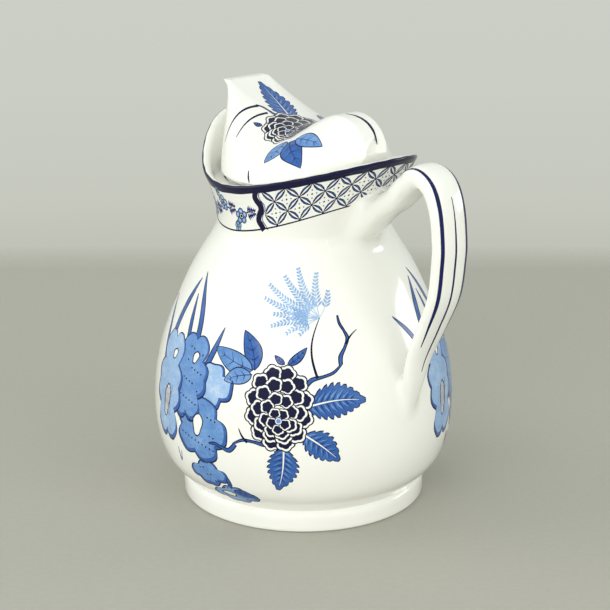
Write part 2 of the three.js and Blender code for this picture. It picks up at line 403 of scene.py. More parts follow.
def move_to(thing, places):
    thing.data.vertices.foreach_set("co", ((places + (AXIS_X, 0, 0)) / 1000).ravel())
    thing.data.update()


def spun(name, outline, turns):
    """An outline of radius and height, drawn as a line of points and spun round the jug's axis."""
    bpy.ops.mesh.primitive_plane_add(size=0.001, location=metre(0, 0, 0))
    made = bpy.context.object
    made.name = name
    edit_all(made)
    bpy.ops.mesh.merge(type="CENTER")
    here = (0.0, 0.0)
    for count, (r, z) in enumerate(outline):
        step = ((r - here[0]) / 1000, 0, (z - here[1]) / 1000)
        if count:
            bpy.ops.mesh.extrude_region_move(TRANSFORM_OT_translate={"value": step})
        else:
            bpy.ops.transform.translate(value=step)
        here = (r, z)
    bpy.ops.mesh.select_all(action="SELECT")
    bpy.ops.mesh.spin(steps=turns, angle=2 * math.pi, center=metre(0, 0, 0), axis=(0, 0, 1))
    bpy.ops.object.mode_set(mode="OBJECT")
    bpy.ops.object.transform_apply(location=True)
    return made


under = FOOT_R - FOOT_ROUND - FOOT_LAND
well = [(r - WALL, z) for r, z in belly[::3] if RECESS + FLOOR + WALL < z < NECK_Z - WALL]
lip_turns = [math.pi * i / 10 for i in range(11)]
jug_outline = [
    (0, RECESS),
    (under * 0.5, RECESS),
    *soft_corner((under - 4, RECESS), (under - 0.7, RECESS), (under - 0.4, RECESS - 1.6)),
    *soft_corner((under - 0.2, 0.7), (under, 0), (under + 0.8, 0)),
    *soft_corner((FOOT_R - FOOT_ROUND, 0), (FOOT_R, 0), (FOOT_R, FOOT_ROUND)),
    *soft_corner((FOOT_R, 0.55 * FOOT_H), (FOOT_R, 0.85 * FOOT_H), (FOOT_R - 0.8 * FOOT_WAIST, FOOT_H - 0.4)),
    *[tuple(p) for p in belly],
    *[(NECK_R, NECK_Z + UPRIGHT * i / 24) for i in range(1, 24)],
    *[(NECK_R - LIP + LIP * math.cos(t), NECK_Z + UPRIGHT + LIP * math.sin(t)) for t in lip_turns],
    *[(NECK_R - WALL, NECK_Z + lerp(UPRIGHT, SEAT_UPRIGHT, i / 8)) for i in range(1, 9)],
    (NECK_R - WALL - 0.6, NECK_Z + SEAT_UPRIGHT),
    *soft_corner(
        (THROAT_R - 0.6, NECK_Z + SEAT_UPRIGHT),
        (THROAT_R - 1, NECK_Z + SEAT_UPRIGHT),
        (THROAT_R - 1, NECK_Z + SEAT_UPRIGHT - 0.6),
    ),
    *[(THROAT_R - 1, NECK_Z + SEAT_UPRIGHT * i / 6) for i in range(5, 0, -1)],
    (THROAT_R, NECK_Z),
    *well[::-1],
    (well[0][0] - 3 * WALL, RECESS + FLOOR),
    (0, RECESS + FLOOR),
]
jug_body = spun("jug_body_glazed", jug_outline, BODY_TURNS)
spots = places_of(jug_body)
spot_angle = np.arctan2(spots[:, 1], spots[:, 0])
spot_radius = np.hypot(spots[:, 0], spots[:, 1])
new_radius, new_height = pressed_out(spot_angle, spot_radius, spots[:, 2])
above = spots[:, 2] > NECK_Z + 0.01
spot_radius = np.where(above, new_radius, spot_radius)
spots[:, 0] = spot_radius * np.cos(spot_angle)
spots[:, 1] = spot_radius * np.sin(spot_angle)
spots[:, 2] = np.where(above, new_height, spots[:, 2])
move_to(jug_body, spots)
close_up(jug_body, 40)


def glaze(name, warm, colour=None):
    """A clear glossy glaze over the ware: ivory, a little uneven in tone and gloss, with a faint ripple."""
    finish = Finish(bpy.data.materials.new(name))
    where = finish.node("ShaderNodeTexCoord", output=3)
    cloud = finish.node("ShaderNodeTexNoise", Vector=where, Scale=22.0, Detail=2.0)
    ripple = finish.node("ShaderNodeTexNoise", Vector=where, Scale=70.0, Detail=1.0)
    ivory = finish.node(
        "ShaderNodeMix",
        {"data_type": "RGBA"},
        output=2,
        Factor=cloud,
        n6=(*linear(*IVORY), 1),
        n7=(*linear(236 + warm, 237, 230 - warm), 1),
    )
    bump = finish.node("ShaderNodeBump", Height=ripple, Strength=0.25, Distance=0.0004)
    surface = finish.node(
        "ShaderNodeBsdfPrincipled",
        Base_Color=colour(finish, where) if colour else ivory,
        Roughness=0.1 + 0.07 * cloud,
        Normal=bump,
        IOR=PRINT_IOR if colour else GLAZE_IOR,
        Coat_Weight=PRINT_COAT if colour else GLAZE_COAT,
        Coat_Roughness=0.03,
    )
    finish.node("ShaderNodeOutputMaterial", Surface=surface)
    return finish.owner


ivory_glaze = glaze("ivory_glaze", 2)
jug_body.data.materials.append(ivory_glaze)
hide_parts("jug_body")
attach(jug_body, "jug")


# ---- Handle
# A flat strap pulled from the same clay, set on under the rear lobe of the collar and on the belly while both
# are soft. Each end is smoothed into the wall with a fillet of clay, so no edge shows under the glaze.
STRAP_W = 17.2
STRAP_T = 6
SHOULDER_T = 9
ROOT_T = 15
LOOP_OUT = 43.2
LOOP_TOP = 27
TERMINAL_Z = 45
UPPER_FILLET = 8.0
LOWER_FILLET = 5.0
FILLET_ROWS = 14
ROOT_DEPTH = 1.6
STRAP_ROWS = 110
STRAP_SIDES = 48

arm = [
    (-0.09, 0.08, ROOT_T, 1.05),
    (0.1, 0.3, 0.78 * ROOT_T, 0.99),
    (0.26, 0.48, 1.05 * SHOULDER_T, 0.93),
    (0.42, 0.65, SHOULDER_T, 0.91),
    (0.56, 0.87, SHOULDER_T, 0.93),
    (0.71, 1.03, SHOULDER_T, 0.98),
    (0.865, 0.94, 1.25 * STRAP_T, 1),
    (0.96, 0.65, 1.05 * STRAP_T, 1),
    (1, 0.22, STRAP_T, 1),
]
tail = [
    (0.97, 0.985),
    (0.776, 0.765),
    (0.59, 0.495),
    (0.388, 0.218),
    (0.194, 0.04),
    (0, -0.09),
    (-0.12, -0.17),
]
strap = [(NECK_R + out * LOOP_OUT, NECK_Z + up * LOOP_TOP, thick, wide) for out, up, thick, wide in arm]
for share, out in tail:
    height = lerp(TERMINAL_Z, NECK_Z, share)
    narrow = lerp(0.3, 1, math.sin(max(0, share) * math.pi / 2))
    strap.append((float(skin_radius(0, height)) + out * LOOP_OUT, height, STRAP_T, narrow))
strap = smooth_line(strap, 900)
strap_run = np.concatenate([[0], np.cumsum(np.hypot(*np.diff(strap[:, :2], axis=0).T))])


def strap_skin(run, side):
    """The strap's surface, at a run along its middle line and a turn round its section from its back."""
    x, z, thick, wide = (np.interp(run, strap_run, strap[:, i]) for i in range(4))
    slope_x = np.interp(run, strap_run, np.gradient(strap[:, 0], strap_run))
    slope_z = np.interp(run, strap_run, np.gradient(strap[:, 1], strap_run))
    back = np.sign(np.cos(side)) * np.abs(np.cos(side)) ** 0.8 * thick / 2
    across = np.sign(np.sin(side)) * np.abs(np.sin(side)) ** 0.8 * wide * STRAP_W / 2
    return np.stack([x - back * slope_z, across, z + back * slope_x], -1)


def over_skin(places):
    """How far places stand out from the jug's wall."""
    angle = np.arctan2(places[..., 1], places[..., 0])
    return np.hypot(places[..., 0], places[..., 1]) - skin_radius(angle, places[..., 2])


def wall_normal(places):
    slope = [over_skin(places + step) - over_skin(places - step) for step in np.eye(3) * 0.05]
    slope = np.stack(slope, -1)
    return slope / np.linalg.norm(slope, axis=-1, keepdims=True)


def onto_wall(places, depth):
    """Places moved to the jug's wall, and then under it by a depth."""
    for _ in range(4):
        places = places - wall_normal(places) * over_skin(places)[..., None] * 0.8
    return places - wall_normal(places) * np.asarray(depth)[..., None]


def unit(vectors):
    return vectors / np.maximum(1e-9, np.linalg.norm(vectors, axis=-1, keepdims=True))


sides = np.linspace(0, 2 * np.pi, STRAP_SIDES, endpoint=False)
runs = np.linspace(0, strap_run[-1], 1201)
clear = over_skin(strap_skin(runs[:, None], sides[None, :])) > 0
middle_row = len(runs) // 2
leaves_wall = np.array([runs[np.max(np.nonzero(~clear[:middle_row, j])[0])] for j in range(STRAP_SIDES)])
meets_wall = np.array([runs[middle_row + np.argmax(~clear[middle_row:, j])] for j in range(STRAP_SIDES)])


def fillet(contact, ahead, radius):
    """Rows of places that curve from the strap, a radius off the wall, out onto the wall."""
    touch = strap_skin(contact, sides)
    normal = wall_normal(touch)
    away = unit(strap_skin(contact + ahead * 0.5, sides) - touch)
    outward = unit(touch - strap_skin(contact, sides + np.pi))
    level = outward - normal * np.sum(outward * normal, -1, keepdims=True)
    back = away - normal * np.sum(away * normal, -1, keepdims=True)
    level = unit(level - 0.4 * back)
    start = strap_skin(contact + ahead * radius, sides)
    end = onto_wall(touch + level * radius, 0.05)
    stand_off = np.sum((start - onto_wall(start, 0)) * wall_normal(start), -1)
    rows = []
    for t in np.linspace(0, 1, FILLET_ROWS):
        curve = start * (1 - t) ** 2 + 2 * onto_wall(touch, 0) * t * (1 - t) + end * t**2
        feathered = onto_wall(curve, 0.05 * t - stand_off * (1 - t) ** 2.4)
        rows.append(lerp(curve, feathered, min(1, 2 * t)))
    for past, depth in ((0.8, 0.14), (1.7, 0.9)):
        rows.append(onto_wall(touch + level * (radius + past), depth))
    return rows


def rooted(rows):
    """A fillet's rows, with more rows that close its end inside the wall."""
    middle = rows[-1].mean(0)
    sizes = (0.85, 0.65, 0.45, 0.25, 0.06)
    return rows + [onto_wall(middle + (rows[-1] - middle) * size, ROOT_DEPTH) for size in sizes]


upper = rooted(fillet(leaves_wall, 1, UPPER_FILLET))[::-1]
lower = rooted(fillet(meets_wall, -1, LOWER_FILLET))
between = [
    strap_skin(lerp(leaves_wall + UPPER_FILLET, meets_wall - LOWER_FILLET, share), sides)
    for share in np.linspace(0, 1, STRAP_ROWS + 1)[1:-1]
]
strap_rows = np.array([*upper, *between, *lower])


def wrapped(name, rows):
    """A flat grid bent round so that its points go to rows of places, closed where its edges meet."""
    count, columns = rows.shape[:2]
    bpy.ops.mesh.primitive_grid_add(x_subdivisions=columns, y_subdivisions=count - 1, size=1)
    made = bpy.context.object
    made.name = name
    flat = np.zeros(len(made.data.vertices) * 3)
    made.data.vertices.foreach_get("co", flat)
    flat = flat.reshape(-1, 3)
    column = np.rint((flat[:, 0] + 0.5) * columns).astype(int) % columns
    row = np.rint((flat[:, 1] + 0.5) * (count - 1)).astype(int)
    move_to(made, rows[row, column])
    edit_all(made)
    bpy.ops.mesh.remove_doubles(threshold=1e-6)
    bpy.ops.mesh.fill_holes(sides=0)
    bpy.ops.object.mode_set(mode="OBJECT")
    return made


handle = wrapped("handle_glazed", strap_rows)
close_up(handle, 50)
handle.data.materials.append(ivory_glaze)
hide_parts("handle")
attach(handle, "jug")


# ---- Lid
# A hollow cast lid with a round base, an upright grip over the spout, a saddle and a hump that runs down as a
# strap at the rear. A skirt under it sits in the throat, and a notch in front lets the jug pour.
LID_WALL = 3
LID_X = 2.5
LID_CLEARANCE = 0.5
LID_Z = SEAT_Z + 0.3
CHANNEL = 4.2
HORN_X = WALL + CHANNEL - SPOUT_REACH
HORN_TOP = 33.7
HORN_HALF = 10.8
HORN_DEEP = 3.5
SADDLE_X = 3
SADDLE_TOP = 20
SADDLE_HALF = 2
HUMP_X = 24.5
HUMP_TOP = 27
TONGUE_HALF = 5.4
TONGUE_ROLL = 13
GRIP_FULL = 2
HUMP_FULL = 1.15
TUCK = 2.4
SKIRT_DEPTH = 6
SKIRT_WALL = 2.6
POUR_GAP_W = 26
POUR_GAP_H = 4.5
LID_TURNS = 216
DOME_ROWS = 44
INNER_ROWS = 14

lid_turns = np.arange(LID_TURNS) / LID_TURNS * 2 * np.pi
seat_wall = collar_radius(lid_turns, SEAT_Z - NECK_Z) - WALL
LID_R = np.min(np.hypot(seat_wall * np.cos(lid_turns) - LID_X, seat_wall * np.sin(lid_turns))) - LID_CLEARANCE
TONGUE_X = LID_X + LID_R + 3.4


def crest_height(x):
    """The crest over the lid's seat: grip, saddle, hump and the roll down to the strap's rear face."""
    to_grip = 1 - np.clip((x - HORN_X - HORN_DEEP) / (SADDLE_X - HORN_X - HORN_DEEP), 0, 1)
    grip = lerp(SADDLE_TOP, HORN_TOP, to_grip**1.6)
    ease = (1 - np.cos(np.pi * np.clip((x - SADDLE_X) / (HUMP_X - SADDLE_X), 0, 1))) / 2
    hump = lerp(SADDLE_TOP, HUMP_TOP, ease)
    roll = np.clip((x - HUMP_X) / (TONGUE_X - HUMP_X), 0, 1)
    strap_top = HUMP_TOP - TONGUE_ROLL * (1 - np.sqrt(1 - roll**2))
    return np.where(x < SADDLE_X, grip, np.where(x < HUMP_X, hump, strap_top))


def crest_half(x):
    """Half the width of the crest's flat top."""
    to_saddle = np.clip((x - HORN_X) / (SADDLE_X - HORN_X), 0, 1) ** 0.7
    to_hump = np.clip((x - SADDLE_X) / (HUMP_X - SADDLE_X), 0, 1)
    grip = lerp(HORN_HALF, SADDLE_HALF, to_saddle)
    hump = lerp(SADDLE_HALF, TONGUE_HALF, to_hump)
    return np.where(x < SADDLE_X, grip, hump)


def dome_place(base_x, base_y, rise, inset, low):
    """A place on the dome: rise runs from 0 at its foot to pi / 2 at its crest."""
    front, rear = HORN_X + inset, TONGUE_X - inset
    ends = 0.96 * (LID_R - inset)
    x = lerp(front, rear, np.clip((base_x + ends) / (2 * ends), 0, 1))
    half = np.maximum(0.4, crest_half(x) - inset)
    top = LID_Z + crest_height(x) - inset
    power = 2 / lerp(GRIP_FULL, HUMP_FULL, (x - front) / (rear - front))
    inward = 1 - np.cos(rise) ** power
    return np.stack(
        [
            lerp(LID_X + base_x, x, inward),
            lerp(base_y, np.clip(base_y, -half, half), inward),
            lerp(low + TUCK, top, np.sin(rise) ** power),
        ],
        -1,
    )


def dome_rows(count, inset, low):
    """Rows from the crest's middle line down to the dome's foot."""
    radius = LID_R - inset
    base_x, base_y = radius * np.cos(lid_turns), radius * np.sin(lid_turns)
    edge_row = dome_place(base_x, base_y, np.pi / 2, inset, low)
    spine = edge_row.copy()
    spine[:, 0] = np.clip(spine[:, 0], HORN_X + inset + HORN_DEEP / 2, TONGUE_X - inset - HORN_DEEP / 2)
    spine[:, 1] = 0
    rows = [lerp(spine, edge_row, share) for share in (0, 0.4, 0.75, 0.92)]
    rows += [dome_place(base_x, base_y, rise, inset, low) for rise in np.linspace(np.pi / 2, 0, count)]
    tuck = 1 - TUCK / radius
    rows.append(np.stack([LID_X + base_x * tuck, base_y * tuck, np.full(LID_TURNS, low)], -1))
    return rows


def ring(radius, height):
    return np.stack([radius * np.cos(lid_turns), radius * np.sin(lid_turns), np.full(LID_TURNS, height)], -1)


outer_rows = np.array(dome_rows(DOME_ROWS, 0, LID_Z))
for _ in range(3):
    softened = outer_rows.copy()
    softened[2:12] = (outer_rows[1:11] + 2 * outer_rows[2:12] + outer_rows[3:13]) / 4
    outer_rows = softened
skirt = THROAT_R - LID_CLEARANCE
skirt_foot = LID_Z - SKIRT_DEPTH
skirt_rows = [
    ring(skirt, LID_Z),
    ring(skirt, skirt_foot + 0.6),
    ring(skirt - 0.6, skirt_foot),
    ring(skirt - SKIRT_WALL + 0.6, skirt_foot),
    ring(skirt - SKIRT_WALL, skirt_foot + 0.6),
    ring(skirt - SKIRT_WALL, LID_Z + LID_WALL),
]
inner_rows = dome_rows(INNER_ROWS, LID_WALL, LID_Z + LID_WALL)[::-1]
lid = wrapped("lid_glazed", np.array([*outer_rows, *skirt_rows, *inner_rows]))
close_up(lid, 50)

bpy.ops.mesh.primitive_cube_add(size=1)
notch = bpy.context.object
notch_height = SKIRT_DEPTH + POUR_GAP_H + 2
notch_corners = np.array([v.co for v in notch.data.vertices])
notch_place = (LID_X - LID_R, 0, LID_Z + POUR_GAP_H - notch_height / 2)
move_to(notch, notch_corners * (LID_R, POUR_GAP_W, notch_height) + notch_place)
edit_all(notch)
bpy.ops.mesh.bevel(offset=0.0015, segments=4)
bpy.ops.object.mode_set(mode="OBJECT")
cut = lid.modifiers.new("pour_notch", "BOOLEAN")
cut.operation = "DIFFERENCE"
cut.object = notch
bpy.context.view_layer.objects.active = lid
bpy.ops.object.modifier_apply(modifier=cut.name)
bpy.data.objects.remove(notch)
lid.data.materials.clear()
lid.data.materials.append(ivory_glaze)
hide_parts("lid")
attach(lid, "lid")


# ---- Transfer print on the body
# Flower sprays, pierced rocks and blades of grass, printed in cobalt and fired under the glaze. Each repeat
# is drawn flat and wrapped on the belly as a closed skin, sunk in the wall and 0.05 mm proud of it.
PRINT_PROUD = 0.05
PRINT_SUNK = 0.12
PRINT_MESH = 2.2
CHART_STEP = 0.02
BARE = 0.0
PALE = 0.2
WASH = 0.4
MIDDLE = 0.58
COBALT = 0.8
NAVY = 1.0
HEART_DROP = -4.4


def strewn(outline):
    """An outline with its long edges cut, so that it can follow a curved wall."""
    places = []
    for here, after in zip(outline, outline[1:] + outline[:1]):
        cuts = max(1, math.ceil(math.dist(here, after) / PRINT_MESH))
        places += [tuple(lerp(np.array(here), np.array(after), i / cuts)) for i in range(cuts)]
    return places


def pieced(layers):
    """Cuts overlapping outlines into triangles, each with the ink of the last outline laid over it."""
    spots, lines = [], []
    for outline, _ in layers:
        outline = strewn([tuple(map(float, place)) for place in outline])
        first, count = len(spots), len(outline)
        lines += [(first + i, first + (i + 1) % count) for i in range(count)]
        spots += outline
    low, high = np.min(spots, 0), np.max(spots, 0)
    across, up = (np.arange(low[k], high[k], PRINT_MESH) for k in (0, 1))
    spots += [(x + 0.014, y + 0.007) for x in across for y in up]
    flat, _, faces, _, _, _ = delaunay_2d_cdt([Vector(p) for p in spots], lines, [], 0, 1e-4)
    flat = np.array([tuple(p) for p in flat])
    middles = np.array([flat[face].mean(0) for face in faces])
    inks = np.zeros(len(faces))
    for outline, ink in layers:
        outline = np.array(outline, float)
        near = np.nonzero(np.all((middles > outline.min(0)) & (middles < outline.max(0)), axis=1))[0]
        x, y = middles[near].T
        windings = np.zeros(len(near))
        for (x0, y0), (x1, y1) in zip(outline, np.roll(outline, -1, 0)):
            if y0 != y1:
                left = x < x0 + (x1 - x0) * (y - y0) / (y1 - y0)
                windings += left * (1.0 * ((y0 <= y) & (y < y1)) - ((y1 <= y) & (y < y0)))
        inks[near[windings != 0]] = ink
    return flat, [(face, ink) for face, ink in zip(faces, inks) if ink > BARE]


def printed(name, groups, body, material):
    """One thin skin for several cut designs, each with the chart that carries it onto the ware."""
    skins, faces, inks, start = [], [], [], 0
    for chart, (flat, kept) in groups:
        used = sorted({i for face, _ in kept for i in face})
        new_index = {old: start + i for i, old in enumerate(used)}
        a, b = flat[used].T
        along = chart(a + CHART_STEP, b) - chart(a - CHART_STEP, b)
        up = chart(a, b + CHART_STEP) - chart(a, b - CHART_STEP)
        skins.append((chart(a, b), unit(np.cross(along, up))))
        borders = {}
        count = len(used)
        for face, ink in kept:
            top = [new_index[i] for i in face]
            faces.append(top)
            inks.append(ink)
            faces.append([i + count for i in top[::-1]])
            inks.append(ink)
            for i, j in zip(top, top[1:] + top[:1]):
                borders[(i, j)] = ink
        for (i, j), ink in borders.items():
            if (j, i) not in borders:
                faces.append([j, i, i + count, j + count])
                inks.append(ink)
        start += 2 * count
    places = np.concatenate([part for c, n in skins for part in (c + n * PRINT_PROUD, c - n * PRINT_SUNK)])
    normals = np.concatenate([part for _, n in skins for part in (n, -n)])
    mesh = bpy.data.meshes.new(name)
    mesh.from_pydata([tuple(p) for p in (places + (AXIS_X, 0, 0)) / 1000], [], faces)
    mesh.attributes.new("cobalt", "FLOAT", "FACE").data.foreach_set("value", np.array(inks, np.float32))
    mesh.shade_smooth()
    mesh.normals_split_custom_set_from_vertices([tuple(n) for n in normals])
    made = bpy.data.objects.new(name, mesh)
    bpy.context.scene.collection.objects.link(made)
    made.data.materials.append(material)
    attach(made, body)


def cobalt_under_glaze(finish, where):
    """Cobalt print: denser ink is darker, and it mottles a little where it bled into the glaze."""
    ink = finish.node("ShaderNodeAttribute", {"attribute_name": "cobalt"}, output=2)
    mottle = finish.node("ShaderNodeTexNoise", Vector=where, Scale=900.0, Detail=2.0)
    pool = finish.node("ShaderNodeTexNoise", Vector=where, Scale=160.0, Detail=1.0)
    density = ink + (mottle - 0.5) * 0.22 * (1.15 - ink) + (pool - 0.5) * 0.3 * (1.1 - ink)
    return finish.node(
        "ShaderNodeValToRGB",
        {"stops": [
            (0.02, linear(208, 220, 234)),
            (PALE, linear(154, 184, 218)),
            (WASH, linear(100, 142, 196)),
            (MIDDLE, linear(50, 92, 160)),
            (COBALT, linear(18, 32, 108)),
            (0.96, linear(7, 8, 50)),
        ]},
        Fac=density,
    )


print_ink = glaze("cobalt_print", 2, cobalt_under_glaze)


def stroke(places, widths, ink, steps=6):
    """A brush stroke along a smooth line, its width running through the given widths."""
    line = smooth_line(places, steps * (len(places) - 1))
    width = np.interp(np.linspace(0, 1, len(line)), np.linspace(0, 1, len(widths)), widths)
    run = unit(np.gradient(line, axis=0))
    aside = np.stack([-run[:, 1], run[:, 0]], 1) * width[:, None] / 2
    return [tuple(p) for p in [*(line + aside), *(line - aside)[::-1]]], ink


def disc(x, y, radius, sides):
    """A small round outline."""
    turns = [2 * math.pi * i / sides for i in range(sides)]
    return [(x + radius * math.cos(turn), y + radius * math.sin(turn)) for turn in turns]


def turned_to(places, base, tip):
    """Places drawn from (0, 0) to (1, 0), laid from base to tip; heights stay in millimetres."""
    base, tip = np.array(base, float), np.array(tip, float)
    along = tip - base
    aside = np.array([-along[1], along[0]]) / np.linalg.norm(along)
    return [tuple(base + along * x + aside * y) for x, y in places]


def leaf_side(width, teeth):
    """One side of a leaf: plain, or with teeth that point to the tip."""
    half = lambda x: width / 2 * max(0.0, math.sin(math.pi * min(1, x) ** 0.8)) ** 0.8
    if not teeth:
        spots = [i / 14 for i in range(15)]
        return [(x, half(x)) for x in spots]
    side = [(0, 0)]
    for k in range(teeth):
        for part, swell in ((0.05, 0.8), (0.5, 1.0), (0.95, 1.06)):
            x = (k + part) / teeth
            side.append((x, half(min(x, 0.97)) * swell))
    return [*side, (1, 0)]


def leaf(base, tip, width, teeth=0, ink=MIDDLE, bow=1.0, edge=0.42):
    """A leaf: a dark edge, a washed blade, side veins, and a midrib left bare on toothed leaves."""
    length = math.dist(base, tip)
    bend = lambda x: bow * math.sin(math.pi * x)
    layers = []
    for inset, tone in ((0, NAVY), (edge, ink)):
        side = leaf_side(width - 2 * inset, teeth)
        squeeze = 1 - 2 * inset / length
        upper = [(inset / length + x * squeeze, y + bend(x)) for x, y in side]
        lower = [(inset / length + x * squeeze, -y + bend(x)) for x, y in side[::-1]]
        layers.append((turned_to(upper + lower[1:-1], base, tip), tone))
    veins = teeth or 4
    for k in range(1, veins):
        x = k / veins * 0.92
        reach = width / 2 * math.sin(math.pi * min(1, x + 0.12) ** 0.8) ** 0.8 * 0.8
        for hand in (1, -1):
            root, end = (x, bend(x)), (min(0.97, x + 0.13), bend(x) + hand * reach)
            sheen = [
                (x - 0.3 / veins, bend(x) + hand * 0.3),
                (x - 0.12 / veins, bend(x) + hand * 0.4 * reach),
                (end[0] - 0.3 / veins, bend(x) + hand * 0.82 * reach),
            ]
            layers.append((turned_to(sheen, base, tip), ink - 0.17))
            vein = [root, (root[0] + 0.42 / length, root[1]), end]
            layers.append((turned_to(vein, base, tip), NAVY))
    rib = [(x / 8, bend(x / 8)) for x in range(8)]
    rib_tone, rib_width = (BARE, (0.75, 0.15)) if teeth else (COBALT, (0.4, 0.12))
    layers.append(stroke(turned_to(rib, base, tip), rib_width, rib_tone, steps=2))
    return layers


def petal(centre, toward, long, wide):
    """A scalloped petal: a fine blue edge, a bare margin and a dark heart."""
    layers = []
    for size, shift, tone in ((1.02, 0, NAVY), (0.88, 0, BARE), (0.68, -0.05, NAVY)):
        outline = []
        for i in range(30):
            turn = i / 30 * 2 * math.pi
            scallop = size * (0.86 + 0.17 * abs(math.cos(2.5 * turn)))
            x = long * (scallop * math.cos(turn) + shift)
            y = wide * scallop * math.sin(turn)
            c, s = math.cos(toward), math.sin(toward)
            outline.append((centre[0] + x * c - y * s, centre[1] + x * s + y * c))
        layers.append((outline, tone))
    return layers


def peony(centre, scale, squash=1.0):
    """A full-blown flower: rings of petals that overlap towards a round heart below its middle."""
    layers = []
    rings = (
        (12, 9.9, 12.9, 0, 3.7),
        (10, 7.6, 9.6, -0.8, 3.5),
        (8, 5.0, 6.3, -2.6, 3.1),
        (5, 2.7, 3.2, HEART_DROP, 2.5),
    )
    for number, (count, across, up, drop, size) in enumerate(rings):
        for k in range(count):
            turn = (k + number % 2 / 2) / count * 2 * math.pi + 0.26
            spot = (across * math.cos(turn) * scale, (drop + up * math.sin(turn)) * scale * squash)
            here = (centre[0] + spot[0], centre[1] + spot[1])
            layers += petal(here, turn, size * scale * 0.92, size * scale)
    for radius, tone in ((1.5, COBALT), (1.2, BARE), (0.85, WASH)):
        layers.append((disc(centre[0], centre[1] + HEART_DROP * scale * squash, radius * scale, 16), tone))
    return layers


def fern(root, fronds):
    """A spray of fine fronds in pale ink; each frond has a direction, a length and a bow."""
    layers = []
    for direction, length, bow in fronds:
        tip = (root[0] + length * math.cos(direction), root[1] + length * math.sin(direction))
        spine = lambda x: (x, bow * math.sin(math.pi * x * 0.9))
        rachis = turned_to([spine(i / 5) for i in range(6)], root, tip)
        layers.append(stroke(rachis, (0.35, 0.15), PALE, steps=2))
        pairs = int(length / 1.35)
        for k in range(3, pairs + 1):
            x = k / pairs
            size = 3.4 * (1.1 - 0.75 * x)
            for hand in (1, -1):
                start = spine(x * 0.97)
                end = (x * 0.97 + 0.75 * size / length, spine(x)[1] + hand * size * 0.7)
                middle = ((start[0] + end[0]) / 2, (start[1] + end[1]) / 2)
                near = (middle[0] + 0.35 / length, middle[1] - hand * 0.3)
                far = (middle[0] - 0.35 / length, middle[1] + hand * 0.3)
                leaflet = [start, near, end, far]
                layers.append((turned_to(leaflet, root, tip), PALE + 0.06))
    return layers


def lined(places, widths):
    """A branch: a dark stroke with a lighter one inside it."""
    inner = [max(0.1, w - 0.85) for w in widths]
    return [stroke(places, widths, NAVY), stroke(places, inner, MIDDLE)]


def branch(base, tip, thick, bends=3, sway=1.6, bow=0.0):
    """A knobbly branch from base to tip: it sways at even steps about one bow, and thins out to its tip."""
    steps = 2 * bends
    line = []
    for k in range(steps + 1):
        swing = sway * math.sin(math.pi * k / 2) * (1 - 0.5 * k / steps)
        line.append((k / steps, bow * math.sin(math.pi * k / steps) + swing))
    widths = [thick * (1.1 if k % 2 else 0.85) * (1 - 0.55 * k / steps) for k in range(steps + 1)]
    return lined(turned_to(line, base, tip), widths)


def twig(base, tip, thick, bow):
    """A fine plain twig on one bow."""
    line = [(k / 6, bow * math.sin(math.pi * k / 6)) for k in range(7)]
    return [stroke(turned_to(line, base, tip), (thick, 0.7 * thick, 0.3 * thick), NAVY, steps=2)]


def lobed(centre, wide, tall, lobes):
    """The corners of a rock: an oval whose radius goes in and out at even steps."""
    corners = []
    for k in range(lobes):
        turn = 2 * math.pi * k / lobes
        swell = 1 + 0.12 * (-1) ** k
        across = wide / 2 * swell * math.cos(turn)
        up = tall / 2 * swell * math.sin(turn)
        corners.append((centre[0] + across, centre[1] + up))
    return corners


def clouded(corners, ink, bulge=0.24, edge=0.55):
    """A rock whose outline swells between its corners, with a dark edge heavier on its lower side."""
    corners = np.array(corners, float)
    after = np.roll(corners, -1, 0)
    places = []
    for here, there in zip(corners, after):
        aside = np.array([there[1] - here[1], here[0] - there[0]])
        for i in range(6):
            t = i / 6
            places.append(here + (there - here) * t + aside * bulge * math.sin(math.pi * t))
    places = np.array(places)
    middle = places.mean(0)
    reach = np.linalg.norm(places - middle, axis=1)
    shrunk = lambda inset: middle + (places - middle) * (1 - np.minimum(inset / reach, 0.3))[:, None]
    shade = shrunk(edge) + (0.12, 0.2)
    lit = shrunk(2.6 * edge) + (-0.2, 0.75)
    tones = ((places, NAVY), (shade, MIDDLE), (lit, ink))
    return [([tuple(p) for p in outline], tone) for outline, tone in tones]


def holed(centre, wide, tall, lean=0.2):
    """A hole through a rock, with a dark edge."""
    layers = []
    for extra, tone in ((0.5, NAVY), (0, BARE)):
        ring_places = []
        for i in range(14):
            turn = i / 14 * 2 * math.pi
            y = (tall / 2 + extra) * math.sin(turn)
            x = (wide / 2 + extra) * math.cos(turn) * (1 + 0.2 * math.sin(3 * turn))
            ring_places.append((centre[0] + x + lean * y, centre[1] + y))
        layers.append((ring_places, tone))
    return layers


def dots(spots, size=0.4):
    return [(disc(x, y, size, 6), NAVY) for x, y in spots]


